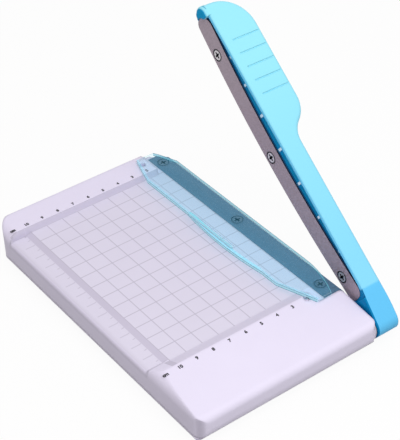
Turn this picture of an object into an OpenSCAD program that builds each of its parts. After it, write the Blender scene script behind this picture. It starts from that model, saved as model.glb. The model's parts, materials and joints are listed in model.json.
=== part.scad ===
// Paper trimmer with a hinged lever on the right of a small ruled board.
// Drawn with x = 0 at the cutting edge, y = 0 at the far end of the ruled board and z = 0 on the desk,
// then moved so that the origin is under the middle of the whole object. The lever is drawn half raised.

/* [Board] */
// Width of the ruled board, up to the cutting edge
board_w = 100; // [80:10:140]
// Length of the ruled board along the cut
board_l = 130; // [120:10:160]
// Height of the board above the underside of the base
base_h = 17.5; // [16.5:0.5:22]
// Width of the ruler strip beside the board
strip_w = 13.5; // [10:0.5:20]
// How far the ruler strip lies below the board
strip_drop = 1.2; // [0.6:0.2:2]
// Rise of the two borders above the board
border_up = 3.6; // [2.8:0.2:4.6]
// Depth of the far border
far_l = 19; // [17:1:26]
// Depth of the front block
block_l = 42.3; // [41:0.1:50]
// Slope of the front block's top, in degrees
block_slope = 7.5; // [4:0.5:9]

/* [Base walls] */
// Thickness of the outer walls
wall_t = 2.4; // [2:0.1:3.5]
// Least thickness of the top
top_t = 2.4; // [2:0.1:3]
// How far the side wall stands back from the cutting edge
side_in = 0.8; // [0.6:0.1:1.6]
// How far the front block's side stands back from the cutting edge
block_in = 2; // [1.6:0.1:3]
// Radius of the rounded lower edge
lower_r = 4; // [2.5:0.5:4]
// Radius of the rounded lower edge at the front
front_r = 8.2; // [4:0.2:9]
// Radius of the rounded top edge on the left
crown_r = 7; // [4:0.5:9]
// Height of the bottom cover's edge
cover_h = 4; // [4:0.5:5]
// Thickness of the bottom cover's floor
cover_t = 2; // [1.6:0.2:2.4]

/* [Feet] */
// Diameter of a rubber foot
foot_d = 12; // [8:1:14]
// How far a foot stands out
foot_out = 1.5; // [1:0.1:3]
// Depth of a foot's pocket
foot_in = 1; // [0.6:0.1:1.2]

/* [Fixed blade] */
// Width of the fixed blade
fixed_w = 11; // [9:0.5:12]
// Thickness of both blades
blade_t = 1.5; // [1.2:0.1:1.8]
// Gap between the two blades
blade_gap = 0.3; // [0.3:0.05:0.5]
// Width of the ground bevel on both blades
bevel_w = 2.2; // [1.5:0.1:3]

/* [Guard] */
// Distance from the cutting edge to the guard's left side
guard_w = 27; // [25:0.5:29]
// Thickness of the guard
guard_t = 2; // [1.6:0.1:2.6]
// How far the guard's side stands back from the cutting edge
guard_in = 2.8; // [2:0.1:3.5]
// How far the thumb press bulges to the left
press_out = 2.3; // [1:0.1:3]

/* [Lever] */
// Length from the pivot to the tip
lever_l = 185.4; // [180:0.2:200]
// Angle of the lever as drawn
lever_rest = 39.85; // [30:0.05:45]
// Width at the pivot
neck_w = 12.5; // [12:0.1:15]
// Width of the grip
grip_w = 23.8; // [21:0.1:27]
// Length of the neck, from the pivot to where the grip begins to widen
neck_l = 99.8; // [96:0.2:110]
// Radius of the heel
heel_r = 6.5; // [6:0.1:7]
// Height of the lever's top over the pivot
lever_up = 9.5; // [9:0.1:10.5]
// How far the lever's lower edge lies above the moving blade's
skirt_up = 1.8; // [1:0.1:3]
// Radius of the rounded edge round the lever's top
edge_r = 2.5; // [1.5:0.1:3]
// Thickness of the top plate and the side wall
lever_t = 2; // [1.6:0.1:2.6]
// Gap between the cutting edge and the lever
lever_in = 0.5; // [0.5:0.1:1]
// Depth of the ribs between the moving blade and the lever's inner wall
rib_l = 2.6; // [2:0.1:3.5]
// Pitch of the grooves across the grip
groove_pitch = 8; // [6:0.5:9]

/* [Moving blade] */
// Width of the moving blade
cutter_w = 12.3; // [11:0.1:13]
// Radius of the moving blade's bow
cutter_r = 655; // [550:1:800]
// How far the bow's lowest point of the middle line lies below the pivot
cutter_low = 3.85; // [3.4:0.05:4.2]
// Clearance round the moving blade in its seat in the lever
cutter_play = 0.3; // [0.2:0.05:0.4]

/* [Pivot] */
// Distance from the board to the pivot
pivot_back = 35; // [34.5:0.1:36]
// How far the pivot lies below the board
pivot_drop = 9.3; // [8.5:0.1:10]
// Diameter of the pivot bolt's shank
bolt_d = 5; // [4:0.1:5]
// Clearance of the lever on the bolt, on the radius
bolt_play = 0.05; // [0.02:0.01:0.08]

/* [Screws] */
// Diameter of the blade and cover screws
screw_d = 3; // [2.5:0.1:3.5]
// Clearance round a screw, on the radius
screw_play = 0.02; // [0.01:0.01:0.05]

/* [Hidden] */
$fn = 96;
eps = 0.01;
// Longer than the whole object, for what is cut right through
over = 2 * (board_w + board_l);
// Levels
z_under = foot_out;
z_part = z_under + cover_h;
z_board = z_under + base_h;
z_top = z_board + border_up;
z_ceil = z_board - top_t - max(strip_drop, blade_t);
// Sides of the base
x_left = -(board_w + strip_w);
x_right = -side_in;
x_block = -block_in;
y_far = far_l;
y_front = -(board_l + block_l);
// Slopes that lead from the board up to the borders and down to the strip
far_foot = 1.2;
far_rise = 0.3;
near_slope = 7.2;
z_near = z_top - 0.16;
strip_slope = 4.5;
strip_end = 0.8;
rim_r = 2;
// The notch in the front block where the blades and the guard go in
notch_l = 14;
notch_w = 17;
channel_w = 14.6;
y_notch = -(board_l + notch_l);
blade_tail = 3;
// Pivot, and the line along X that it lies on
pivot_y = -(board_l + pivot_back);
pivot_z = z_board - pivot_drop;
// Middle of the whole object
x_mid = (x_left + lever_in + grip_w) / 2;
y_mid = (y_far + min(y_front, pivot_y - heel_r)) / 2;
// Guard
z_guard = z_top;
y_guard_far = 12;
y_guard_near = y_notch - 1.2;
guard_post_d = 3.2;
guard_screw_d = 1.6;
guard_posts = [[-19, 8.5], [-20.5, -(board_l + 9)]];
// Screws
head_d = 6.4;
head_ring = 0.35;
cover_head_d = 6;
screw_l = 9;
cover_screw_l = 8;
fixed_x = -fixed_w / 2;
fixed_ys = [7.3, 7.3 - (board_l + 9.3) / 2, -(board_l + 2)];
cover_screws = [
    [x_left + 26, y_far - 9],
    [x_right - 34, y_far - 9],
    [x_left + 26, y_front + 12],
    [x_block - 34, y_front + 12]
];
feet = [
    [x_left + 13, y_far - 12],
    [x_right - 17, y_far - 14],
    [x_left + 13, y_front + 15.5],
    [x_block - 14, y_front + 15.5]
];
// Lever, in its own frame: x across, y along the lever from the pivot, z up from the pivot
neck_x = lever_in + neck_w;
grip_x = lever_in + grip_w;
tip_r = 19;
cove_r = 13;
shoulder_r = 15.5;
cove_x = neck_x + cove_r;
shoulder_x = grip_x - shoulder_r;
shoulder_u = neck_l + sqrt(pow(cove_r + shoulder_r, 2) - pow(cove_x - shoulder_x, 2));
solid_u = 14.2;
// Heel: its top bends down behind the crease and meets the round end in a tangent
crease_u = 18.4;
heel_a = atan2(lever_up, crease_u) + acos(heel_r / norm([crease_u, lever_up]));
// Block beyond the moving blade's end
tip_x = -1.2;
tip_u = lever_l - 6.4;
tip_end = lever_l + 1.2;
tip_low = 0.2;
rib_t = 1.4;
rib_us = [for (f = [0.22, 0.329, 0.437, 0.545, 0.652, 0.749, 0.837, 0.921]) f * lever_l];
groove_us = [for (i = [0:4]) lever_l - 23.25 - i * groove_pitch];
// Moving blade, an arc in the lever's frame
cutter_u = lever_l * 0.537;
cutter_c = cutter_r - cutter_low;
cutter_u0 = 15.4;
cutter_u1 = lever_l - 4.1;
// Corner radii at its two ends, at the cutting edge and at the back
cutter_low_r = 4.2;
cutter_back_r = [5, 7];
cutter_x = blade_gap;
cutter_us = [28.9, 0.542 * lever_l, 0.867 * lever_l];
function cutter_at(u, r = cutter_r) = cutter_c - sqrt(r * r - (u - cutter_u) * (u - cutter_u));
// Its screws lie a little below its middle
function screw_at(u) = [u, cutter_at(u) - 1.6];
// The lever's lower edge, parallel to the moving blade's from skirt_u on
skirt_r = cutter_r + cutter_w / 2 - skirt_up;
skirt_u = 30;
// Points along that edge from u0 to u1, drawn in by i
function skirt_run(u0, u1, i = 0) = [
    for (k = [0 : 12]) let (u = u0 + (u1 - u0) * k / 12) [u, cutter_at(u, skirt_r - i)]
];
// Pivot stack along X, from the wall of the base outwards
washer_t = 1;
spring_t = 1.3;
play_x = 0.3;
heel_x = x_block + washer_t + play_x;
seat_x = lever_in + 7;
stack_x = seat_x + play_x;
bolt_head_x = stack_x + washer_t + spring_t;
bolt_head_t = 2.8;
bolt_head_d = 8.8;
washer_d = 9.2;
seat_d = 9.8;
boss_l = 6;
nut_t = 4;
nut_d = 9.24;
nut_x = x_block - boss_l - nut_t;
// Stop: the heel's underside comes down on a tongue of the bottom cover
stop_y = pivot_y + 9;
stop_l = 6;
stop_z = pivot_z - heel_r + 0.6;

module place() translate([-x_mid, -y_mid, 0]) children();

module lever_frame() place() translate([0, pivot_y, pivot_z]) rotate([lever_rest, 0, 0]) children();

// Sweeps an outline of (y, z) along X
module sweep_x(x0, x1) translate([x0, 0, 0]) rotate([90, 0, 90]) linear_extrude(x1 - x0) children();

// Sweeps an outline of (x, z) along Y
module sweep_y(y0, y1) translate([0, y1, 0]) rotate([90, 0, 0]) linear_extrude(y1 - y0) children();

// A rod along X
module rod_x(x0, x1, d) translate([x0, 0, 0]) rotate([0, 90, 0]) cylinder(d = d, h = x1 - x0);

// What a rounded corner takes off, where (sx, sy) points into the outline
module corner(x, y, sx, sy, radius) {
    r = max(radius, 0.5);
    difference() {
        translate([sx > 0 ? x - 1 : x - r, sy > 0 ? y - 1 : y - r]) square(r + 1);
        translate([x + sx * r, y + sy * r]) circle(r);
    }
}

// Outline of the base seen from above, drawn in by i
module base_plan(i = 0) {
    cut = [x_right - 6.7, y_far];
    along = [6.7, -10] / norm([6.7, -10]);
    out = [-along[1], along[0]];
    difference() {
        translate([x_left + i, y_front + i]) square([x_right - x_left - 2 * i, y_far - y_front - 2 * i]);
        corner(x_left + i, y_front + i, 1, 1, 6 - i);
        corner(x_left + i, y_far - i, 1, -1, 17 - i);
        translate([x_block - i, y_front - 1]) square([20, y_notch - y_front + 1 + i]);
        corner(x_block - i, y_front + i, -1, 1, 4 - i);
        translate(-i * out)
            polygon([cut - 20 * along, cut + 40 * along, cut + 40 * along + 30 * out, cut - 20 * along + 30 * out]);
    }
}

// Outline of the base seen from the right, as (y, z)
module base_side() {
    r = 4;
    s = block_slope;
    y_edge = -(board_l + near_slope);
    y_c = y_front + r;
    z_c = z_near - (y_edge - y_c) * tan(s) - r / cos(s);
    difference() {
        union() {
            polygon([
                [y_front, z_under], [y_far, z_under], [y_far, z_top], [far_rise, z_top], [-far_foot, z_board],
                [-board_l, z_board], [y_edge, z_near], [y_c - r * sin(s), z_c + r * cos(s)], [y_front, z_c]
            ]);
            translate([y_c, z_c]) circle(r);
        }
        corner(y_front, z_under, 1, 1, front_r);
        corner(y_far, z_under, -1, 1, lower_r);
        corner(y_far, z_top, -1, -1, 4);
    }
}

// Outline of the base seen from the front, as (x, z)
module base_front() {
    difference() {
        translate([x_left, z_under]) square([x_right - x_left, z_top - z_under]);
        corner(x_left, z_under, 1, 1, lower_r);
        corner(x_right, z_under, -1, 1, 0.8 * (block_in - side_in));
        corner(x_left, z_top, 1, -1, crown_r);
    }
}

module base_block() {
    intersection() {
        linear_extrude(z_top + 1) base_plan();
        sweep_x(x_left - 1, x_right + 1) base_side();
        sweep_y(y_front - 1, y_far + 1) base_front();
    }
}

// The lower ruler strip, open to the left
module strip_cut() {
    x_in = -(board_w + strip_slope);
    z = z_board - strip_drop;
    sweep_y(-(board_l - strip_end), -strip_end) {
        polygon([
            [-board_w, z_board], [x_in, z], [x_left - over, z], [x_left - over, z_top + over], [-board_w, z_top + over]
        ]);
        corner(x_left, z, 1, -1, rim_r);
    }
}

// Outline of the fixed blade seen from above, drawn out by o
module fixed_plan(o = 0) {
    y_end = far_l - 4;
    polygon([
        [-fixed_w - o, y_notch - blade_tail - o], [x_block - 1 + o, y_notch - blade_tail - o], [x_block - 1 + o, y_notch],
        [0, y_notch], [0, y_end - 5.4 + o], [-5, y_end + o], [-fixed_w - o, y_end + o]
    ]);
}

module pivot_axis() translate([0, pivot_y, pivot_z]) children();

module base_shell() {
    color("#ece8f8") place() difference() {
        union() {
            difference() {
                intersection() {
                    base_block();
                    translate([x_left - 1, y_front - 1, z_part]) cube(over);
                }
                translate([0, 0, z_part - 1]) linear_extrude(z_ceil - z_part + 1) base_plan(wall_t);
            }
            for (p = cover_screws) translate([p[0], p[1], z_part]) cylinder(d = 8, h = z_ceil - z_part + eps);
            for (y = fixed_ys) translate([fixed_x, y, z_ceil - 6]) cylinder(d = 7, h = 6 + eps);
            for (x = [x_left + 34, x_left + 68]) translate([x, -board_l, z_ceil - 4]) cube([1.6, board_l, 4 + eps]);
            intersection() {
                pivot_axis() rod_x(x_block - boss_l, x_block - eps, 13);
                translate([x_left, y_front + 1, z_part]) cube(over);
            }
        }
        strip_cut();
        // Channel for the fixed blade through the far border, and the notch in the front block
        translate([-channel_w, -far_foot - 1, z_board]) cube(over);
        translate([-notch_w, y_notch, z_board]) cube([over, notch_l + 1, over]);
        translate([0, 0, z_board]) linear_extrude(over) corner(x_block, y_notch, -1, -1, 2);
        translate([0, 0, z_board - blade_t]) linear_extrude(blade_t + eps) {
            fixed_plan(0.1);
            translate([-fixed_w, -board_l]) square(over);
        }
        for (y = fixed_ys) translate([fixed_x, y, z_board - blade_t - screw_l])
            cylinder(d = screw_d + 2 * screw_play, h = screw_l + 1);
        for (p = guard_posts) translate([p[0], p[1], z_ceil - 1]) cylinder(d = guard_post_d + 0.2, h = over);
        for (p = cover_screws) translate([p[0], p[1], z_part - 1])
            cylinder(d = screw_d + 2 * screw_play, h = cover_screw_l + 0.5);
        pivot_axis() rod_x(x_block - boss_l - 1, grip_x, bolt_d + 0.2);
    }
}

module bottom_cover() {
    color("#dcd8e8") place() difference() {
        union() {
            intersection() {
                base_block();
                translate([x_left - 1, y_front - 1, 0]) cube([over, over, z_part]);
            }
            translate([x_block - 2, stop_y, z_under]) cube([lever_in + 5 - x_block + 2, stop_l, stop_z - z_under]);
            translate([0, 0, z_part - eps]) linear_extrude(1.6) difference() {
                base_plan(wall_t + 0.25);
                base_plan(wall_t + 1.75);
            }
        }
        difference() {
            translate([0, 0, z_under + cover_t]) linear_extrude(10) base_plan(wall_t + 3);
            for (p = cover_screws) translate([p[0], p[1], 0]) cylinder(d = 10, h = z_part);
            for (p = feet) translate([p[0], p[1], 0]) cylinder(d = foot_d + 3, h = z_under + cover_t + 0.8);
        }
        for (p = feet) translate([p[0], p[1], -1]) cylinder(d = foot_d, h = z_under + foot_in + 1);
        for (p = cover_screws) {
            translate([p[0], p[1], 0]) cylinder(d = screw_d + 2 * screw_play, h = 20);
            translate([p[0], p[1], -1]) cylinder(d = cover_head_d + 0.2, h = z_under + 2 + 1);
        }
        // The lip stays clear of the boss and the nut at the pivot
        pivot_axis() rod_x(x_block - boss_l - nut_t - 3, x_block - 1, 15);
    }
}

module rubber_foot(i) {
    color("#303034") place() translate([feet[i][0], feet[i][1], 0]) cylinder(d = foot_d, h = foot_out + foot_in);
}

// Crossed recess of a screw head, cut down from z = 0
module cross_recess(w, l, depth) {
    for (a = [0, 90]) rotate([0, 0, a]) translate([-l / 2, -w / 2, -depth]) cube([l, w, depth + 1]);
}

// Countersunk screw with its head's face at z = 0, pointing down
module flat_screw(l) {
    difference() {
        union() {
            translate([0, 0, -blade_t]) cylinder(d1 = screw_d, d2 = head_d, h = blade_t);
            translate([0, 0, -l]) cylinder(d = screw_d, h = l - blade_t + eps);
        }
        cross_recess(0.8, 3.4, 0.9);
    }
}

module flat_screw_hole(l) {
    translate([0, 0, -blade_t]) cylinder(d1 = screw_d, d2 = head_d, h = blade_t);
    translate([0, 0, -l]) cylinder(d = screw_d + 2 * screw_play, h = l);
    translate([0, 0, -0.5]) cylinder(d = head_d + 2 * head_ring, h = 1);
}

module cover_screw(i) {
    color("#8c8c94") place() translate([cover_screws[i][0], cover_screws[i][1], z_under]) difference() {
        union() {
            cylinder(d = cover_head_d, h = 2);
            cylinder(d = screw_d, h = cover_screw_l + 2);
        }
        rotate([180, 0, 0]) cross_recess(0.8, 3.4, 0.9);
    }
}

module fixed_blade() {
    color("#5f7f92") place() difference() {
        translate([0, 0, z_board - blade_t]) linear_extrude(blade_t) fixed_plan();
        // Ground relief under the cutting edge
        sweep_y(y_notch - blade_tail - 1, y_far + 1)
            polygon([[-bevel_w * 0.4, z_board - blade_t - 1], [1, z_board - blade_t - 1], [1, z_board], [0, z_board - 0.5]]);
        for (y = fixed_ys) translate([fixed_x, y, z_board]) flat_screw_hole(blade_t + 1);
    }
}

module fixed_screw(i) {
    color("#7f8f9c") place() translate([fixed_x, fixed_ys[i], z_board]) flat_screw(blade_t + screw_l - 1);
}

// Outline of the guard seen from above
module guard_plan() {
    bow_l = 65;
    bow_r = (bow_l * bow_l / 4 + press_out * press_out) / (2 * press_out);
    bow_y = -0.6 * board_l;
    end_r = 62;
    end_y = -(board_l - 13);
    difference() {
        union() {
            translate([-guard_w, y_guard_near]) square([guard_w - guard_in, y_guard_far - y_guard_near]);
            intersection() {
                translate([-guard_w - press_out + bow_r, bow_y]) circle(bow_r, $fn = 360);
                translate([-guard_w - press_out - 1, bow_y - bow_l / 2]) square([10, bow_l]);
            }
        }
        // Slanted far end on both sides
        polygon([[-guard_w - 5, -12], [-guard_w - 0.4, -9], [-guard_w + 6.4, y_guard_far + 0.4], [-guard_w - 5, 30]]);
        polygon([[-9.2, y_guard_far + 0.1], [-7.2, 8.4], [-guard_in, -3], [5, -3], [5, 30], [-9.2, 30]]);
        // Tapered near end
        polygon([[-guard_w - 5, end_y - 5], [-guard_w, end_y - 5], [-guard_w + 8.2, y_guard_near], [-guard_w - 5, y_guard_near - 5]]);
        difference() {
            translate([-guard_w, y_guard_near - 1]) square([guard_w + 1, end_y - y_guard_near + 1]);
            translate([-guard_in - end_r, end_y]) circle(end_r, $fn = 180);
        }
    }
}

module paper_guard() {
    lip_l = 0.28 * board_l;
    lip_y = -0.515 * board_l;
    lip_d = 2.8;
    color("#8fd2ee", 0.45) place() difference() {
        union() {
            translate([0, 0, z_guard]) linear_extrude(guard_t) guard_plan();
            translate([-guard_w - press_out + 2.4, lip_y + lip_l / 2, z_guard + guard_t]) {
                rotate([90, 0, 0]) cylinder(d = lip_d, h = lip_l);
                sphere(d = lip_d);
                translate([0, -lip_l, 0]) sphere(d = lip_d);
            }
            for (p = guard_posts) translate([p[0], p[1], z_ceil]) cylinder(d = guard_post_d, h = z_guard - z_ceil + 0.5);
        }
        for (p = guard_posts) translate([p[0], p[1], z_ceil - 1])
            cylinder(d = guard_screw_d + 2 * screw_play, h = 7);
    }
}

module guard_screw(i) {
    color("#8c8c94") place() translate([guard_posts[i][0], guard_posts[i][1], z_ceil]) difference() {
        union() {
            translate([0, 0, -2]) cylinder(d = guard_post_d + 2.2, h = 2);
            translate([0, 0, -1]) cylinder(d = guard_screw_d, h = 6);
        }
        translate([0, 0, -2]) rotate([180, 0, 0]) cross_recess(0.8, 3, 0.9);
    }
}

// Outline of the lever seen from above, as (x, u), with its free sides drawn in by i
module lever_plan(i = 0) {
    x0 = lever_in - (i > 0 ? 1 : 0);
    cove = [cove_x, neck_l];
    shoulder = [shoulder_x, shoulder_u];
    tip = [grip_x - tip_r, lever_l - tip_r];
    translate([x0, -heel_r - 1]) square([neck_x - i - x0, neck_l + heel_r + 1]);
    difference() {
        polygon([[x0, neck_l], cove, shoulder, [x0, shoulder_u]]);
        translate(cove) circle(cove_r + i);
    }
    intersection() {
        polygon([shoulder, cove, [cove_x, shoulder_u]]);
        translate(shoulder) circle(shoulder_r - i);
    }
    polygon([
        [x0, shoulder_u], [grip_x - i, shoulder_u], [grip_x - i, tip[1]], tip, [tip[0], lever_l - i], [x0, lever_l - i]
    ]);
    intersection() {
        translate(tip) square(over);
        translate(tip) circle(tip_r - i);
    }
}

// Outline of the lever seen from the right, as (u, w)
module lever_side() {
    circle(heel_r);
    difference() {
        polygon(concat(
            [[crease_u, lever_up], heel_r * [cos(heel_a), sin(heel_a)], [0, -heel_r]],
            skirt_run(skirt_u, lever_l + 1), [[lever_l + 1, lever_up]]
        ));
        corner(lever_l, cutter_at(lever_l, skirt_r), -1, 1, 2.5);
    }
}

// What the rounded edge round the lever's top takes off
module lever_edges() {
    cove = [cove_x, neck_l];
    shoulder = [shoulder_x, shoulder_u];
    tip = [grip_x - tip_r, lever_l - tip_r];
    sweep_y(-heel_r - 1, neck_l) corner(neck_x, lever_up, -1, -1, edge_r);
    intersection() {
        translate(cove) rotate_extrude() corner(cove_r, lever_up, 1, -1, edge_r);
        linear_extrude(2 * lever_up) polygon([[-1, neck_l], cove, shoulder, [-1, shoulder_u]]);
    }
    intersection() {
        translate(shoulder) rotate_extrude() corner(shoulder_r, lever_up, -1, -1, edge_r);
        linear_extrude(2 * lever_up) polygon([shoulder, cove, [over, neck_l], [over, shoulder_u]]);
    }
    sweep_y(shoulder_u, lever_l - tip_r) corner(grip_x, lever_up, -1, -1, edge_r);
    intersection() {
        translate(tip) rotate_extrude() corner(tip_r, lever_up, -1, -1, edge_r);
        translate(tip) cube(over);
    }
    sweep_x(tip_x - 1, grip_x - tip_r) corner(lever_l, lever_up, -1, -1, edge_r);
    sweep_y(crease_u, tip_u) corner(lever_in, lever_up, 1, -1, lever_t - 0.3);
}

// Rounded block beyond the moving blade's end, which stands out past the cutting edge
module tip_block() {
    intersection() {
        sweep_x(tip_x, lever_in + lever_t) difference() {
            translate([tip_u, -tip_low]) square([tip_end - tip_u, lever_up + tip_low]);
            corner(tip_end, -tip_low, -1, 1, 2.5);
            corner(tip_end, lever_up, -1, -1, edge_r);
        }
        sweep_y(tip_u - 1, tip_end + 1) difference() {
            translate([tip_x, -tip_low]) square([lever_in + lever_t - tip_x, lever_up + tip_low]);
            corner(tip_x, lever_up, 1, -1, 2);
            corner(tip_x, -tip_low, 1, 1, 1);
        }
        translate([0, 0, -lever_up]) linear_extrude(3 * lever_up) difference() {
            translate([tip_x, tip_u - 1]) square([lever_in + lever_t - tip_x, tip_end - tip_u + 1]);
            corner(tip_x, tip_end, 1, -1, 1.6);
        }
    }
}

// Outline of the moving blade, as (u, w), drawn out by o
module cutter_plan(o = 0) {
    low = cutter_r + cutter_w / 2 + o;
    back = cutter_r - cutter_w / 2 - o;
    spread = o / cutter_r * 180 / PI;
    ends = [asin((cutter_u0 - cutter_u) / cutter_r) - spread, asin((cutter_u1 - cutter_u) / cutter_r) + spread];
    translate([cutter_u, cutter_c]) difference() {
        intersection() {
            difference() {
                circle(low, $fn = 720);
                circle(back, $fn = 720);
            }
            polygon([[0, 0], for (a = ends) 2 * cutter_r * [sin(a), -cos(a)]]);
        }
        for (i = [0, 1]) rotate(ends[i]) {
            s = i == 0 ? 1 : -1;
            r = cutter_back_r[i] + o;
            corner(0, -low, s, 1, cutter_low_r + o);
            corner(0, -sqrt(back * back - r * r), s, -1, r);
        }
    }
}

module lever_shell() {
    color("#8fe4fa") lever_frame() difference() {
        union() {
            difference() {
                intersection() {
                    translate([0, 0, -over / 2]) linear_extrude(over) lever_plan();
                    sweep_x(-1, grip_x + 1) lever_side();
                }
                // Hollow, open below and towards the blade
                intersection() {
                    translate([0, 0, lever_up - lever_t - over]) linear_extrude(over) lever_plan(lever_t);
                    union() {
                        translate([-5, solid_u, -over / 2]) cube([over, tip_u - solid_u, over]);
                        translate([8, tip_u - 1, -over / 2]) cube(over);
                    }
                }
            }
            // Inner wall, and the ribs and screw bosses that the blade lies on
            intersection() {
                union() {
                    translate([cutter_x + blade_t + rib_l, solid_u - 1, -over / 2])
                        cube([lever_t - 0.4, lever_l - solid_u, over]);
                    for (u = rib_us) translate([cutter_x + blade_t, u - rib_t / 2, -over / 2]) cube([over, rib_t, over]);
                    for (u = cutter_us) translate([cutter_x + blade_t, screw_at(u)[0], screw_at(u)[1]]) rod_x(0, over, 7.6);
                }
                translate([0, 0, lever_up - 1 - over]) linear_extrude(over) lever_plan(0.5);
                sweep_x(0, grip_x) polygon(concat(skirt_run(0, lever_l, 0.6), [[lever_l, over], [0, over]]));
            }
            // Heel beside the base, which runs on the inner washer
            intersection() {
                sweep_x(heel_x, lever_in + 1) lever_side();
                translate([-over / 2, -heel_r - 1, -over / 2]) cube([over, solid_u + heel_r + 1, over]);
            }
            tip_block();
        }
        lever_edges();
        sweep_x(-5, cutter_x + blade_t) cutter_plan(cutter_play);
        rod_x(heel_x - 1, over, bolt_d + 2 * bolt_play);
        rod_x(seat_x, over, seat_d);
        for (u = cutter_us) translate([cutter_x + blade_t - 1, screw_at(u)[0], screw_at(u)[1]])
            rod_x(0, screw_l + 1, screw_d + 2 * screw_play);
        // Grooves across the grip
        for (u = groove_us) translate([5.6, u - 0.35, lever_up - 0.4]) cube([over, 0.7, over]);
    }
}

module moving_blade() {
    color("#93898f") lever_frame() difference() {
        sweep_x(cutter_x, cutter_x + blade_t) cutter_plan();
        // Ground bevel along the lower edge, on the lever's side
        translate([cutter_x, cutter_u, cutter_c]) rotate([0, 90, 0]) difference() {
            cylinder(r = cutter_r + cutter_w, h = blade_t + 1, $fn = 720);
            translate([0, 0, -eps])
                cylinder(r1 = cutter_r + cutter_w / 2 + 0.4, r2 = cutter_r + cutter_w / 2 - bevel_w, h = blade_t + 1 + 2 * eps, $fn = 720);
        }
        for (u = cutter_us) translate([cutter_x, screw_at(u)[0], screw_at(u)[1]])
            rotate([0, -90, 0]) flat_screw_hole(blade_t + 1);
    }
}

module moving_screw(i) {
    at = screw_at(cutter_us[i]);
    color("#c0bcc4") lever_frame() translate([cutter_x, at[0], at[1]])
        rotate([0, -90, 0]) flat_screw(blade_t + screw_l - 1);
}

module pivot_bolt() {
    color("#a8a4b0") place() pivot_axis() difference() {
        union() {
            rod_x(nut_x - 1.5, bolt_head_x + 1, bolt_d);
            rod_x(bolt_head_x, bolt_head_x + bolt_head_t, bolt_head_d);
        }
        translate([bolt_head_x + bolt_head_t, 0, 0]) rotate([0, 90, 0]) cross_recess(1.1, 5, 1.4);
    }
}

module washer(x, d, t, hole) {
    place() pivot_axis() difference() {
        rod_x(x, x + t, d);
        rod_x(x - 1, x + t + 1, hole);
    }
}

module washer_inner() color("#b4b4bc") washer(x_block, 2 * heel_r - 1.4, washer_t, bolt_d + 0.2);

module washer_outer() color("#b4b4bc") washer(stack_x, washer_d, washer_t, bolt_d + 0.2);

// Split spring washer
module spring_washer() {
    color("#9a9aa4") place() pivot_axis() difference() {
        rod_x(stack_x + washer_t, bolt_head_x, washer_d - 0.6);
        rod_x(stack_x, bolt_head_x + 1, bolt_d + 0.2);
        translate([stack_x + washer_t - 1, -0.3, 0]) rotate([0, 20, 0]) cube([6, 0.6, 10]);
    }
}

module pivot_nut() {
    color("#a8a4b0") place() pivot_axis() difference() {
        translate([nut_x, 0, 0]) rotate([0, 90, 0]) cylinder(d = nut_d, h = nut_t, $fn = 6);
        rod_x(nut_x - 1, nut_x + nut_t + 1, bolt_d + 2 * screw_play);
    }
}

base_shell();
bottom_cover();
cover_screw(0);  // cover_screw_1
cover_screw(1);  // cover_screw_2
cover_screw(2);  // cover_screw_3
cover_screw(3);  // cover_screw_4
rubber_foot(0);  // foot_1
rubber_foot(1);  // foot_2
rubber_foot(2);  // foot_3
rubber_foot(3);  // foot_4
fixed_blade();
fixed_screw(0);  // fixed_screw_1
fixed_screw(1);  // fixed_screw_2
fixed_screw(2);  // fixed_screw_3
paper_guard();
guard_screw(0);  // guard_screw_1
guard_screw(1);  // guard_screw_2
lever_shell();
moving_blade();
moving_screw(0);  // moving_screw_1
moving_screw(1);  // moving_screw_2
moving_screw(2);  // moving_screw_3
pivot_bolt();
pivot_nut();
washer_inner();
washer_outer();
spring_washer();
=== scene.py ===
import json
import math

import bmesh
import bpy
from mathutils import Matrix, Vector


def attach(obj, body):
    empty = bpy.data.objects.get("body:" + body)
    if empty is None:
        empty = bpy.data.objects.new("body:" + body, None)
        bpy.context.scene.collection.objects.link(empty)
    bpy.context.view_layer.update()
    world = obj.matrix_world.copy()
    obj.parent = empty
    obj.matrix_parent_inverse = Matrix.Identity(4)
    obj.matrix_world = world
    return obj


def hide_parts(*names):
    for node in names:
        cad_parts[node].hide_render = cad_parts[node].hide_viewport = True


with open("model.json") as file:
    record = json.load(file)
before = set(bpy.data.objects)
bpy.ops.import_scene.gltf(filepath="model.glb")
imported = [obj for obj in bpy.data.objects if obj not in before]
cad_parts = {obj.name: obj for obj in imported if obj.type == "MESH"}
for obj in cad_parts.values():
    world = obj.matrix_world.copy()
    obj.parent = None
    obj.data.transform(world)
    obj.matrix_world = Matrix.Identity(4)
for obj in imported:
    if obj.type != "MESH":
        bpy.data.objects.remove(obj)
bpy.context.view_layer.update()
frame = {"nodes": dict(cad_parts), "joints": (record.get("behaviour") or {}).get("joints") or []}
nodes = frame["nodes"]
print("frame:", len(nodes), "nodes")

mm = 0.001
drawnZero = Vector((44.6, 76.65, 19.0)) * mm   # cutting edge, far end of the grid, board's top
pivot = (Vector(frame["joints"][0]["pos_m"]) - drawnZero) / mm
white = (1, 1, 1, 1)
black = (0, 0, 0, 1)
# a mask's pair of values is its edge and softness, and a three is its low and high edges and softness
level = (0.925, 0.05)                          # rise of the normal from which a face counts as level


def paint(red, green, blue):
    # a screen colour, 0 to 255, as the linear colour that shaders take
    def linear(v):
        v /= 255
        return v / 12.92 if v <= 0.04045 else ((v + 0.055) / 1.055) ** 2.4
    return (linear(red), linear(green), linear(blue), 1.0)


def darker(colour, share):
    return tuple(c * share for c in colour[:3]) + (1,)


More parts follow.
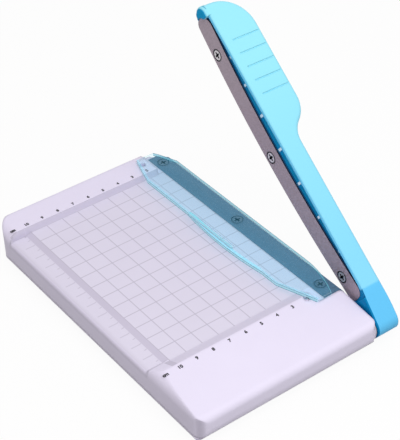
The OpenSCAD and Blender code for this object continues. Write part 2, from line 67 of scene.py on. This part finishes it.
class Sock:
    # one output of a node; arithmetic on it adds Math nodes
    def __init__(self, finish, out):
        self.finish, self.out = finish, out

    def pick(self, name):
        return Sock(self.finish, self.out.node.outputs[name])

    def __add__(self, other):
        return self.finish.maths("ADD", self, other)

    def __radd__(self, other):
        return self.finish.maths("ADD", other, self)

    def __sub__(self, other):
        return self.finish.maths("SUBTRACT", self, other)

    def __rsub__(self, other):
        return self.finish.maths("SUBTRACT", other, self)

    def __mul__(self, other):
        return self.finish.maths("MULTIPLY", self, other)

    def __rmul__(self, other):
        return self.finish.maths("MULTIPLY", other, self)

    def __truediv__(self, other):
        return self.finish.maths("DIVIDE", self, other)

    def __rtruediv__(self, other):
        return self.finish.maths("DIVIDE", other, self)

    def __pow__(self, other):
        return self.finish.maths("POWER", self, other)

    def __rpow__(self, other):
        return self.finish.maths("POWER", other, self)

    def __abs__(self):
        return self.finish.maths("ABSOLUTE", self)

    def fract(self):
        return self.finish.maths("FRACT", self)

    def clamped(self):
        return self.finish.maths("ADD", self, 0.0, True)

    def most(self, other):
        return self.finish.maths("MAXIMUM", self, other)

    def after(self, edge, soft):
        # 1 past the edge, rising from 0 over soft
        return ((self - edge) / soft + 0.5).clamped()

    def before(self, edge, soft):
        return ((edge - self) / soft + 0.5).clamped()

    def within(self, low, high, soft):
        return self.after(low, soft) * self.before(high, soft)


class Finish:
    # the nodes of a material or of the world
    def __init__(self, owner):
        owner.use_nodes = True
        self.owner, self.tree = owner, owner.node_tree
        self.tree.nodes.clear()

    def node(self, kind, settings=None, sockets=None, out=0):
        made = self.tree.nodes.new("ShaderNode" + kind)
        for name, value in (settings or {}).items():
            setattr(made, name, value)
        for name, value in (sockets or {}).items():
            if isinstance(value, Sock):
                self.tree.links.new(value.out, made.inputs[name])
            else:
                made.inputs[name].default_value = value
        return Sock(self, made.outputs[out]) if len(made.outputs) else None

    def maths(self, operation, a, b=0.0, clamp=False):
        return self.node("Math", {"operation": operation, "use_clamp": clamp}, {0: a, 1: b})

    def mix(self, factor, a, b):
        return self.node("Mix", {"data_type": "RGBA"}, {0: factor, 6: a, 7: b}, 2)

    def place(self):
        # the piece's own coordinates, in millimetres from the drawn zero
        xyz = self.node("SeparateXYZ", None, {0: self.node("TexCoord").pick("Object")})
        return [xyz.pick(axis) / mm - zero / mm for axis, zero in zip("XYZ", drawnZero)]

    def facing(self):
        # the piece's own normal
        xyz = self.node("SeparateXYZ", None, {0: self.node("TexCoord").pick("Normal")})
        return [xyz.pick(axis) for axis in "XYZ"]

    def noise(self, scale, detail, at=None):
        at = at or self.node("TexCoord").pick("Object")
        return self.node("TexNoise", None, {"Vector": at, "Scale": scale, "Detail": detail})

    def bump(self, height, strength, distance, soft=0.0):
        # distance and soft are in millimetres; soft is a radius over which sharp edges shade as round ones
        sockets = {"Height": height, "Strength": strength, "Distance": distance * mm}
        if soft:
            sockets["Normal"] = self.node("Bevel", {"samples": 6}, {"Radius": soft * mm})
        return self.node("Bump", None, sockets)

    def seen(self):
        # 1 for rays that show the background: to the camera, in a reflection or through clear plastic
        path = self.node("LightPath")
        mirrored = path.pick("Is Glossy Ray").most(path.pick("Is Transmission Ray"))
        return path.pick("Is Camera Ray").most(mirrored)

    def surface(self, **sockets):
        names = {name.replace("_", " "): value for name, value in sockets.items()}
        return self.shown(self.node("BsdfPrincipled", None, names))

    def shown(self, shader, output="OutputMaterial"):
        self.node(output, None, {"Surface": shader})
        return self.owner


def newFinish(name):
    return Finish(bpy.data.materials.new(name))


# Base, with its printed grid and ruler strip
base = {
    "shell": paint(236, 231, 252), "board": paint(226, 222, 240), "print": paint(140, 134, 152),
    "boardX": (-100.2, 0.5), "boardY": (-130.2, 0.2), "boardZ": (-0.6, 0.3), "boardSoft": 0.1,
    "cell": 10.0, "rowShift": -0.45, "line": (0.22, 0.22), "inkShare": 0.52,
    "stripX": (-113.6, -103.3), "stripZ": (-2.4, -0.4), "stripSoft": 0.4,
    "tickX": (-109.3, -103.3), "halfTickX": (-105.0, -103.3), "tickSoft": 0.5,
    "tickLine": (0.3, 0.2), "tickShare": 0.3,
    "slopesX": (-103.3, 1.0, 0.3), "slopesY": (-137.3, 0.4, 0.2), "tilted": (0.976, 0.0125),
    "slopeShare": 0.16, "steepShare": 0.36, "steepX": (-100.0, 0.2), "steepY": (-2.0, 0.2),
    "stripEndX": (-112.0, -103.3, 0.3), "stripEndY": (-1.9, 1.0, 0.2),
    "rimX": (-111.75, 3.7), "rimZ": (-4.0, 2.0), "rimShare": 0.2,
    "corner": (-1.351, 0.143), "cornerShare": 0.36,
    "cloud": (45, 3), "cloudDepth": 0.06, "rough": 0.43, "gloss": 0.2,
    "grain": (2600, 2), "grainBump": (0.06, 0.04), "softEdge": 2.2,
}


def printedLine(v, cell, half, soft):
    # lines at every whole cell
    away = abs((v / cell + 0.5).fract() - 0.5) * cell
    return away.before(half, 2 * soft)


def basePlastic():
    f = newFinish("basePlastic")
    x, y, z = f.place()
    nx, ny, nz = f.facing()
    up = nz.after(*level)
    soft = base["boardSoft"]
    beside = y.within(*base["boardY"], soft)
    onBoard = x.within(*base["boardX"], soft) * beside * z.within(*base["boardZ"], soft) * up
    onStrip = beside * z.within(*base["stripZ"], soft) * up
    row = y - base["rowShift"]
    grid = printedLine(x, base["cell"], *base["line"]).most(printedLine(row, base["cell"], *base["line"]))
    ticks = printedLine(row, base["cell"], *base["tickLine"]) * x.within(*base["tickX"], base["tickSoft"])
    between = printedLine(row, base["cell"] / 2, *base["tickLine"])
    ticks = ticks.most(between * x.within(*base["halfTickX"], base["tickSoft"]))
    ink = (grid * onBoard * base["inkShare"]).most(ticks * onStrip * base["tickShare"])
    # painted shade: the slopes round the board, the strip's far end and rim and the front left corner are
    # painted a little greyer, in place of their shading
    slopes = x.within(*base["slopesX"]) * y.within(*base["slopesY"])
    stripEnd = x.within(*base["stripEndX"]) * y.within(*base["stripEndY"])
    slopes = slopes.most(stripEnd) * nz.before(*base["tilted"])
    steep = y.after(*base["steepY"]).most(x.before(*base["steepX"]))
    paintedShade = slopes * (base["slopeShare"] + steep * (base["steepShare"] - base["slopeShare"]))
    paintedShade = paintedShade.most(x.before(*base["rimX"]) * z.after(*base["rimZ"]) * beside * base["rimShare"])
    paintedShade = paintedShade.most((nx + ny).before(*base["corner"]) * base["cornerShare"])
    clouds = f.noise(*base["cloud"]) * base["cloudDepth"]
    strip = x.within(*base["stripX"], base["stripSoft"]) * onStrip
    plain = f.mix(onBoard.most(strip), base["shell"], base["board"])
    return f.surface(
        Base_Color=f.mix(ink.most(paintedShade + clouds), plain, base["print"]),
        Roughness=base["rough"] + clouds, IOR=1.5, Specular_IOR_Level=base["gloss"],
        Normal=f.bump(f.noise(*base["grain"]), *base["grainBump"], base["softEdge"]))


# Lever, light blue, with painted shade in deeper blues on its hollow and on the faces that look left or down,
# and a painted glow
leverLook = {
    "rest": 39.85, "length": 185.0,
    "plate": paint(158, 237, 255), "plateLow": paint(141, 224, 255), "fade": (92.5, 115.0),
    "heel": paint(106, 205, 255), "crease": 18.4, "creaseSoft": 1.2,
    "sideLow": paint(4, 128, 186), "sideHigh": paint(10, 165, 222),
    "left": (-0.833, 0.167), "down": (-0.425, 0.25),
    "ledgeX": (0.4, 0.15), "ledgeU": (15.8, 0.3),
    "inner": paint(10, 182, 236), "innerX": (2.6, 0.3), "innerGlow": (0.003, 0.1, 0.165, 1.0),
    "edge": paint(116, 213, 255), "edgeX": (-1.0, 2.4, 0.2), "edgeW": (7.4, 12.0, 0.3), "edgeSoft": 1.0,
    "rib": paint(228, 246, 255), "ribGlow": (0.12, 0.2, 0.25, 1.0),
    "ribX": (1.5, 2.2, 0.2), "ribLeft": (-0.7, 0.2),
    "rough": 0.4, "cloud": (90, 2), "cloudDepth": 0.08, "ior": 1.15,
    "grain": (1800, 2), "grainBump": (0.04, 0.03), "softEdge": 0.8,
}
restCos = math.cos(math.radians(leverLook["rest"]))
restSin = math.sin(math.radians(leverLook["rest"]))


def leverPlace(f):
    # across the lever, along it and up from the pivot, in millimetres
    x, y, z = f.place()
    dy, dz = y - pivot.y, z - pivot.z
    return x, dy * restCos + dz * restSin, dz * restCos - dy * restSin


def leverPlastic():
    f = newFinish("leverPlastic")
    x, u, w = leverPlace(f)
    nx, ny, nz = f.facing()
    beyondHeel = u.after(leverLook["crease"], leverLook["edgeSoft"])
    # painted shade: faces that look left or down, and the ledge on the heel's left side, take deeper blues in
    # place of their shading
    shadedFaces = nx.before(*leverLook["left"]).most((nz * restCos - ny * restSin).before(*leverLook["down"]))
    shadedFaces = shadedFaces.most(x.before(*leverLook["ledgeX"]) * u.before(*leverLook["ledgeU"]))
    skin = f.mix(u.after(*leverLook["fade"]), leverLook["plateLow"], leverLook["plate"])
    skin = f.mix(u.before(leverLook["crease"], leverLook["creaseSoft"]), skin, leverLook["heel"])
    # painted shade, deeper towards the heel
    side = f.mix((u / leverLook["length"]).clamped(), leverLook["sideLow"], leverLook["sideHigh"])
    deep = x.after(*leverLook["innerX"]) * shadedFaces
    colour = f.mix(shadedFaces, skin, f.mix(deep, side, leverLook["inner"]))
    # painted highlight on the plate's upper left edge
    litUpperEdge = shadedFaces * x.within(*leverLook["edgeX"]) * w.within(*leverLook["edgeW"]) * beyondHeel
    colour = f.mix(litUpperEdge, colour, leverLook["edge"])
    # painted highlight: the ribs' ends are painted near white
    onRib = x.within(*leverLook["ribX"]) * nx.before(*leverLook["ribLeft"])
    colour = f.mix(onRib, colour, leverLook["rib"])
    paintedGlow = f.mix(deep, black, leverLook["innerGlow"])    # painted glow, in place of light that comes through the plastic
    # the ribs carry a painted glow too
    paintedGlow = f.mix(onRib, paintedGlow, leverLook["ribGlow"])
    return f.surface(
        Base_Color=colour, Emission_Color=paintedGlow, Emission_Strength=1.0, IOR=leverLook["ior"],
        Roughness=leverLook["rough"] + f.noise(*leverLook["cloud"]) * leverLook["cloudDepth"],
        Normal=f.bump(f.noise(*leverLook["grain"]), *leverLook["grainBump"], leverLook["softEdge"]))


# Blades, ground along their length
bladeLook = {
    "moving": paint(184, 169, 181), "fixed": paint(95, 133, 162), "worn": 0.62,
    "edge": paint(10, 20, 34), "edgeFlat": (0.7375, 0.125), "movingEdge": 1.0, "fixedEdge": 0.6,
    "back": paint(14, 90, 128), "backX": (1.067, 0.333),
    "streaks": (2200, 3), "stretch": (1, 0.04, 1), "specks": (1500, 2), "shares": (0.5, 1.4, 0.45),
    "metal": 0.35, "rough": 0.45, "roughStreaks": 0.15, "bump": (0.1, 0.03),
}


def bladeSteel(name, colour, turnDegrees, edgeShare, flatAxis):
    f = newFinish(name)
    at = f.node("TexCoord").pick("Object")
    angle = math.radians(-turnDegrees)
    turned = f.node("VectorRotate", {"rotation_type": "X_AXIS"}, {"Vector": at, "Angle": angle})
    stretched = f.node("VectorMath", {"operation": "MULTIPLY"}, {0: turned, 1: bladeLook["stretch"]})
    streaks = f.noise(*bladeLook["streaks"], stretched)
    streakShare, speckShare, less = bladeLook["shares"]
    bright = (streaks * streakShare + f.noise(*bladeLook["specks"]) * speckShare - less).clamped()
    shade = f.mix(bright, darker(colour, bladeLook["worn"]), colour)
    # the sheared edges are painted dark, as painted shade and dark reflection, and the moving blade's back
    # has a painted reflection of the lever
    rim = abs(f.facing()[flatAxis]).before(*bladeLook["edgeFlat"]) * edgeShare
    back = f.mix(f.place()[0].after(*bladeLook["backX"]), bladeLook["edge"], bladeLook["back"])
    return f.surface(
        Base_Color=f.mix(rim, shade, back), Metallic=bladeLook["metal"],
        Roughness=bladeLook["rough"] + streaks * bladeLook["roughStreaks"],
        Normal=f.bump(streaks, *bladeLook["bump"]))


# Screws, washers and the pivot's bolt and nut; heads in the blades have painted shade on their recesses, rims
# and crosses
screwLook = {
    "plain": paint(205, 202, 208), "moving": paint(225, 222, 226), "fixed": paint(96, 124, 147), "worn": 0.7,
    "movingHeadShade": paint(10, 20, 34), "fixedHeadShade": paint(50, 90, 112),
    "movingU": (28.9, 100.5, 160.7), "arcMiddle": 99.56, "arcRadius": 655.0, "arcDrop": 5.45,
    "movingSunk": (0.4625, 0.125),
    "fixedX": -5.5, "fixedY": (-132.0, -62.35, 7.3), "fixedSunk": (-0.1625, 0.125),
    "rim": (2.683, 0.167), "cross": (0.6, 1.9), "crossSoft": 0.15,
    "specks": (900, 3), "metal": 0.6, "rough": 0.3, "roughSpecks": 0.12,
}


def movingHeads(f):
    # the recesses, and the offsets from each head's middle, which follows the blade's arc
    x, u, w = leverPlace(f)
    radius = screwLook["arcRadius"]
    offsets = []
    for at in screwLook["movingU"]:
        up = radius - math.sqrt(radius ** 2 - (at - screwLook["arcMiddle"]) ** 2) - screwLook["arcDrop"]
        offsets.append((u - at, w - up))
    return x.after(*screwLook["movingSunk"]), offsets


def fixedHeads(f):
    x, y, z = f.place()
    offsets = [(x - screwLook["fixedX"], y - at) for at in screwLook["fixedY"]]
    return z.before(*screwLook["fixedSunk"]), offsets


# painted shade: the recess, the rim round each head and its cross are dark
def headMarks(recess, offsets):
    half, reach = screwLook["cross"]
    soft = screwLook["crossSoft"]
    rim, cross = 1, 0
    for a, b in offsets:
        rim = rim * ((a ** 2 + b ** 2) ** 0.5).after(*screwLook["rim"])
        bar = a.within(-half, half, soft) * b.within(-reach, reach, soft)
        otherBar = b.within(-half, half, soft) * a.within(-reach, reach, soft)
        cross = bar.most(otherBar).most(cross)
    return recess.most(rim).most(cross)


def screwSteel(name, colour, heads=None, dark=None):
    f = newFinish(name)
    specks = f.noise(*screwLook["specks"])
    shade = f.mix(specks, darker(colour, screwLook["worn"]), colour)
    if heads:
        shade = f.mix(headMarks(*heads(f)), shade, dark)
    rough = screwLook["rough"] + specks * screwLook["roughSpecks"]
    return f.surface(Base_Color=shade, Metallic=screwLook["metal"], Roughness=rough)


# Guard, a clear tinted strip whose edges gather light, shown as painted highlights and painted dark lines on
# its edges
guardLook = {
    "clear": (0.925, 0.99, 1.0, 1.0), "paintedGlow": (0.0, 0.6, 1.0, 1.0),
    "body": paint(200, 240, 255), "share": 0.02,
    "low": 3.6, "high": 5.6, "upright": (0.6, 0.2), "play": 0.05, "rough": 0.08, "ior": 1.49,
    "left": paint(176, 244, 252), "leftShare": 0.75,
    "line": paint(62, 150, 172), "lineWidth": 0.4, "lineSoft": 0.15,
    "right": paint(60, 118, 132), "rightWidth": 0.95, "rightShare": 0.85,
    "far": paint(100, 142, 156), "farWidth": 1.0, "farShare": 0.65,
    "near": paint(215, 246, 252), "nearWidth": 0.35, "nearShare": 0.4, "widthSoft": 0.125,
    "sideways": (0.4, 0.2), "endways": (0.8, 0.2),
    "lip": paint(128, 228, 246), "lipShare": 0.5,
    "lipFrom": (5.675, 0.05), "lipLeft": (-0.133, 0.167), "lipLine": (6.1, 6.4),
    "edgeHighlight": paint(140, 228, 246), "bandShare": 0.45, "bandFrom": -1.0, "bandWidth": 1.2, "bandSoft": 0.3,
    "press": (0.25, 0.5), "pressWidth": 0.5, "pressShare": 0.4,
    "edgeX": -27.0, "bowMiddle": -78.0, "bowOut": 2.3, "bowRadius": 230.8,
    "slants": ((-27.4, -9.0, 0.318), (-27.0, -122.0, -0.353)),
}


def guardEdge(y):
    # the left edge, straight but for its bow and the slants at its ends, and how far the bow stands out
    bow = ((y - guardLook["bowMiddle"]) ** 2 * (-0.5 / guardLook["bowRadius"]) + guardLook["bowOut"]).most(0)
    edge = guardLook["edgeX"] - bow
    for x, along, slope in guardLook["slants"]:
        edge = edge.most((y - along) * slope + x)
    return edge, bow


def guardPlastic():
    f = newFinish("guardPlastic")
    x, y, z = f.place()
    nx, ny, nz = f.facing()
    low, high, play = guardLook["low"], guardLook["high"], guardLook["play"]
    def top(width):
        return z.after(high - width + guardLook["widthSoft"] / 2, guardLook["widthSoft"])
    upright = abs(nz).before(*guardLook["upright"]) * z.within(low - play, high + play / 2, play)
    (sideFrom, sideSoft), (endFrom, endSoft) = guardLook["sideways"], guardLook["endways"]
    toLeft = nx.before(-sideFrom, sideSoft) * upright
    walls = {
        "right": nx.after(sideFrom, sideSoft) * upright,
        "far": ny.after(endFrom, endSoft) * upright,
        "near": ny.before(-endFrom, endSoft) * upright,
    }
    line = 1 - z.within(low + guardLook["lineWidth"], high - guardLook["lineWidth"], guardLook["lineSoft"])
    onLip = z.after(*guardLook["lipFrom"]) * nx.before(*guardLook["lipLeft"])
    # painted highlight: the left edge also shows as a band on the top, wider and brighter along the bow
    edge, bow = guardEdge(y)
    press = bow.after(*guardLook["press"])
    width = press * guardLook["pressWidth"] + guardLook["bandWidth"]
    onEdge = (x - edge).within(guardLook["bandFrom"], width, guardLook["bandSoft"])
    edgeHighlight = onEdge * nz.after(*level) * top(2 * play)
    post = z.before(low - 2 * play, 2 * play)
    # painted highlight on the left side face, with painted dark lines at its top and bottom
    colour = f.mix(toLeft, guardLook["body"], f.mix(line, guardLook["left"], guardLook["line"]))
    share = guardLook["share"] + toLeft * guardLook["leftShare"] + onLip * guardLook["lipShare"] + post
    share = share + edgeHighlight * (press * guardLook["pressShare"] + guardLook["bandShare"])
    # painted shade and highlight on the right, far and near faces
    for name, wall in walls.items():
        colour = f.mix(wall, colour, guardLook[name])
        share = share + wall * top(guardLook[name + "Width"]) * guardLook[name + "Share"]
    colour = f.mix(edgeHighlight, colour, guardLook["edgeHighlight"])
    # painted highlight on the lip, with a painted dark line
    lipLine = z.within(*guardLook["lipLine"], guardLook["lineSoft"])
    colour = f.mix(onLip, colour, f.mix(lipLine, guardLook["lip"], guardLook["line"]))
    colour = f.mix(post, colour, base["shell"])
    # painted glow on the flat faces, in place of tinted light that the strip scatters
    flat = abs(nz).after(*level) * z.within(low - play, high + play, play) * (1 - edgeHighlight)
    skin = f.node("BsdfPrincipled", None, {
        "Base Color": colour, "Roughness": guardLook["rough"], "IOR": guardLook["ior"],
        "Emission Color": f.mix(flat, black, guardLook["paintedGlow"]), "Emission Strength": 1.0})
    through = f.node("BsdfTransparent", None, {"Color": guardLook["clear"]})
    return f.shown(f.node("MixShader", None, {0: share.clamped(), 1: through, 2: skin}))


# Rubber feet
footLook = {
    "dark": paint(38, 38, 40), "light": paint(52, 52, 55),
    "grain": (1500, 3), "bump": (0.2, 0.05), "rough": 0.8,
}


def footRubber():
    f = newFinish("footRubber")
    grain = f.noise(*footLook["grain"])
    return f.surface(
        Base_Color=f.mix(grain, footLook["dark"], footLook["light"]), Roughness=footLook["rough"],
        Normal=f.bump(grain, *footLook["bump"]))


def named(*starts):
    return [name for name in nodes if name.startswith(starts)]


def dress(finish, names):
    for name in names:
        slots = nodes[name].data.materials
        slots.clear()
        slots.append(finish)


movingSteel = bladeSteel("movingSteel", bladeLook["moving"], leverLook["rest"], bladeLook["movingEdge"], 0)
fixedSteel = bladeSteel("fixedSteel", bladeLook["fixed"], 0, bladeLook["fixedEdge"], 2)
movingScrews = screwSteel("movingScrews", screwLook["moving"], movingHeads, screwLook["movingHeadShade"])
fixedScrews = screwSteel("fixedScrews", screwLook["fixed"], fixedHeads, screwLook["fixedHeadShade"])
plainSteel = screwSteel("screwSteel", screwLook["plain"])
dress(basePlastic(), ["base_shell", "bottom_cover"])
dress(leverPlastic(), ["lever_shell"])
dress(movingSteel, ["moving_blade"])
dress(fixedSteel, ["fixed_blade"])
dress(guardPlastic(), ["paper_guard"])
dress(movingScrews, named("moving_screw"))
dress(fixedScrews, named("fixed_screw"))
dress(plainSteel, named("cover_screw", "guard_screw", "pivot", "washer", "spring_washer"))
dress(footRubber(), named("foot"))
print("finishes on the frame")

# Lever as moulded: the CAD lever with a round nose, and with the blade's seat closed at the heel
leverShape = {
    "nose": (180.9, 4.2), "noseRadius": 5.4, "noseRound": 1.8, "noseX": (-1.2, 3.0),
    "steps": 48, "quarter": 6,                           # points round the nose, and steps in a quarter turn
    "trimOuter": (-2.5, 178.9), "trimStep": (0.47, 185.43), "trimInner": (2.7, 189.0), "trimW": (-3.0, 13.0),
    "seatU": 13.9, "seatW": (-5.2, 7.7), "seatX": (0.45, 1.95), "seatPlay": 0.15, "seatTurn": -7.38,
    "seatCorners": ((19.31, -0.89, 4.2, 270), (20.51, 2.08, 5.0, 180)), "sharp": 30, "weld": 1e-4,
}


def leverPoint(x, u, w):
    y, z = pivot.y + u * restCos - w * restSin, pivot.z + u * restSin + w * restCos
    return drawnZero + Vector((x, y, z)) * mm


def solid(name, rings):
    # closed mesh through rings of equal count, each a list of (x, u, w)
    shape = bmesh.new()
    rows = [[shape.verts.new(leverPoint(*at)) for at in ring] for ring in rings]
    for one, other in zip(rows, rows[1:]):
        for i in range(len(one)):
            j = (i + 1) % len(one)
            shape.faces.new((one[i], one[j], other[j], other[i]))
    shape.faces.new(rows[0])
    shape.faces.new(rows[-1])
    bmesh.ops.recalc_face_normals(shape, faces=shape.faces)
    mesh = bpy.data.meshes.new(name)
    shape.to_mesh(mesh)
    shape.free()
    made = bpy.data.objects.new(name, mesh)
    bpy.context.scene.collection.objects.link(made)
    return made


def merged(piece, operation, tool):
    # the piece after one Boolean; the tool is used up
    cut = piece.modifiers.new("cut", "BOOLEAN")
    cut.operation, cut.object, cut.solver = operation, tool, "EXACT"
    mesh = bpy.data.meshes.new_from_object(piece.evaluated_get(bpy.context.evaluated_depsgraph_get()))
    piece.modifiers.remove(cut)
    piece.data = mesh
    bpy.data.objects.remove(tool)


def quarterTurn():
    return [math.radians(90 * k / leverShape["quarter"]) for k in range(leverShape["quarter"] + 1)]


def noseTrim():
    # what the round nose leaves of the CAD lever's tip
    u, w = leverShape["nose"]
    turns = [math.tau * i / leverShape["steps"] for i in range(leverShape["steps"])]
    def ring(x, radius):
        return [(x, u + radius * math.cos(a), w + radius * math.sin(a)) for a in turns]
    outer, inner = leverShape["noseX"]
    small, full = leverShape["noseRound"], leverShape["noseRadius"]
    rings = [ring(outer + small * (1 - math.cos(a)), full - small * (1 - math.sin(a))) for a in quarterTurn()]
    nose = solid("nose", rings + [ring(inner, full)])
    (x0, u0), (x1, u1), (x2, u2) = (leverShape[k] for k in ("trimOuter", "trimStep", "trimInner"))
    outline = [(x0, u0), (x1, u0), (x1, u1), (x2, u1), (x2, u2), (x0, u2)]
    trim = solid("trim", [[(x, along, up) for x, along in outline] for up in leverShape["trimW"]])
    merged(trim, "DIFFERENCE", nose)
    return trim


def seatEnd():
    # the end of the blade's seat, along the blade's two rounded corners
    low, high = leverShape["seatW"]
    outline = [(leverShape["seatU"], high), (leverShape["seatU"], low)]
    for u, w, radius, start in leverShape["seatCorners"]:
        reach = radius + leverShape["seatPlay"]
        for turn in quarterTurn():
            angle = math.radians(start + leverShape["seatTurn"]) - turn
            outline.append((u + reach * math.cos(angle), w + reach * math.sin(angle)))
    outline.append((outline[-1][0], high))
    return solid("seat", [[(x, along, up) for along, up in outline] for x in leverShape["seatX"]])


def mouldedLever():
    mesh = nodes["lever_shell"].data.copy()
    shape = bmesh.new()
    shape.from_mesh(mesh)
    bmesh.ops.remove_doubles(shape, verts=shape.verts, dist=leverShape["weld"] * mm)
    shape.to_mesh(mesh)
    shape.free()
    piece = bpy.data.objects.new("lever_moulding", mesh)
    bpy.context.scene.collection.objects.link(piece)
    merged(piece, "DIFFERENCE", noseTrim())
    merged(piece, "UNION", seatEnd())
    stale = piece.data.attributes.get("custom_normal")   # the frame's own normals no longer fit
    if stale:
        piece.data.attributes.remove(stale)
    piece.data.shade_smooth()
    piece.data.set_sharp_from_angle(angle=math.radians(leverShape["sharp"]))
    piece.modifiers.new("evenNormals", "WEIGHTED_NORMAL").keep_sharp = True
    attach(piece, "lever")
    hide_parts("lever_shell")
    return piece


moulding = mouldedLever()
print("lever moulded:", len(moulding.data.polygons), "faces")

# Numbers of the centimetre scale, on both borders
scale = {
    "dark": paint(14, 11, 20), "light": paint(26, 22, 34), "wear": (1400, 2), "rough": 0.5,
    "height": 1.95, "fontHeight": 1.4, "bold": 0.13, "thick": 0.01, "lift": 0.02,
    "far": (2.4, 3.6, 0.0), "near": (-139.7, 3.12, -7.5),
    "unit": "cm", "unitX": -109.2, "first": 10, "last": 2, "firstX": -100.4, "step": 10.0,
}


def numberInk():
    f = newFinish("numberInk")
    wear = f.noise(*scale["wear"])
    return f.surface(Base_Color=f.mix(wear, scale["dark"], scale["light"]), Roughness=scale["rough"])


def printMark(side, mark, x, ink):
    y, z, tilt = scale[side]
    shape = bpy.data.curves.new("mark", "FONT")
    shape.body, shape.size = mark, scale["height"] * scale["fontHeight"] * mm
    shape.align_x, shape.align_y = "CENTER", "CENTER"
    shape.extrude, shape.bevel_depth, shape.bevel_resolution = scale["thick"] * mm, scale["bold"] * mm, 1
    shape.materials.append(ink)
    text = bpy.data.objects.new("scale_" + side + "_" + mark, shape)
    bpy.context.scene.collection.objects.link(text)
    at = Matrix.Translation(drawnZero + Vector((x, y, z + scale["lift"])) * mm)
    text.matrix_world = at @ Matrix.Rotation(math.radians(-tilt), 4, "X")
    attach(text, "base")


ink = numberInk()
for side in ("far", "near"):
    printMark(side, scale["unit"], scale["unitX"], ink)
    for number in range(scale["first"], scale["last"] - 1, -1):
        printMark(side, str(number), scale["firstX"] + scale["step"] * (scale["first"] - number), ink)
print("numbers printed")

# Floor, light and camera
stageLook = {
    "floor": 3.0, "white": 0.93, "ground": 0.33, "groundSeen": 0.9,
    "sky": 0.57, "skyColour": (1.0, 0.955, 0.95, 1.0),
    "keyAt": (-0.07, -0.52, 0.86), "keySize": 0.8, "keyPower": 5.6,
}


def floorWhite():
    f = newFinish("floorWhite")
    seen = f.seen()
    greys = [(stageLook[k],) * 3 + (1,) for k in ("ground", "groundSeen")]
    matt = f.node("BsdfDiffuse", None, {"Color": f.mix(seen, *greys)})
    bright = f.node("Emission", None, {"Color": white, "Strength": 1.0})
    return f.shown(f.node("MixShader", None, {0: seen * stageLook["white"], 1: matt, 2: bright}))


def studioWorld():
    f = Finish(bpy.data.worlds.new("studio"))
    sky = f.node("Background", None, {"Color": stageLook["skyColour"], "Strength": stageLook["sky"]})
    bright = f.node("Background", None, {"Color": white, "Strength": 1.0})
    return f.shown(f.node("MixShader", None, {0: f.seen(), 1: sky, 2: bright}), "OutputWorld")


plane = bpy.data.meshes.new("floor")
half = stageLook["floor"] / 2
corners = [(-half, -half, 0), (half, -half, 0), (half, half, 0), (-half, half, 0)]
plane.from_pydata(corners, [], [(0, 1, 2, 3)])
plane.materials.append(floorWhite())
floor = bpy.data.objects.new("floor", plane)
bpy.context.scene.collection.objects.link(floor)
bpy.context.scene.world = studioWorld()

lamp = bpy.data.lights.new("keyLight", "AREA")
lamp.shape, lamp.size, lamp.energy = "SQUARE", stageLook["keySize"], stageLook["keyPower"]
key = bpy.data.objects.new("keyLight", lamp)
key.location = stageLook["keyAt"]
key.rotation_mode = "QUATERNION"
key.rotation_quaternion = (-Vector(stageLook["keyAt"])).to_track_quat("-Z", "Y")
bpy.context.scene.collection.objects.link(key)

# The camera was fitted to the grid's lines in a picture 440 pixels high
view = {
    "azimuth": -35.486, "elevation": 37.679, "roll": -2.071, "at": (-335.605, -476.140, 496.048),
    "focalPixels": 1424.43, "pixelsHigh": 440, "sensor": 36, "clip": (0.01, 20),
}
turn, rise, roll = (math.radians(view[k]) for k in ("azimuth", "elevation", "roll"))
back = Vector((math.sin(turn) * math.cos(rise), -math.cos(turn) * math.cos(rise), math.sin(rise)))
right = Vector((math.cos(turn), math.sin(turn), 0))
above = back.cross(right)
tilt = Matrix.Rotation(roll, 3, back)
right, above = tilt @ right, tilt @ above
lens = bpy.data.cameras.new("camera")
lens.lens, lens.sensor_width = view["focalPixels"] / view["pixelsHigh"] * view["sensor"], view["sensor"]
lens.clip_start, lens.clip_end = view["clip"]
camera = bpy.data.objects.new("camera", lens)
axes = Matrix((right, above, back)).transposed().to_4x4()
camera.matrix_world = Matrix.Translation(Vector(view["at"]) * mm) @ axes
bpy.context.scene.collection.objects.link(camera)
bpy.context.scene.camera = camera
bpy.context.scene.view_settings.view_transform = "Standard"
print("stage set")
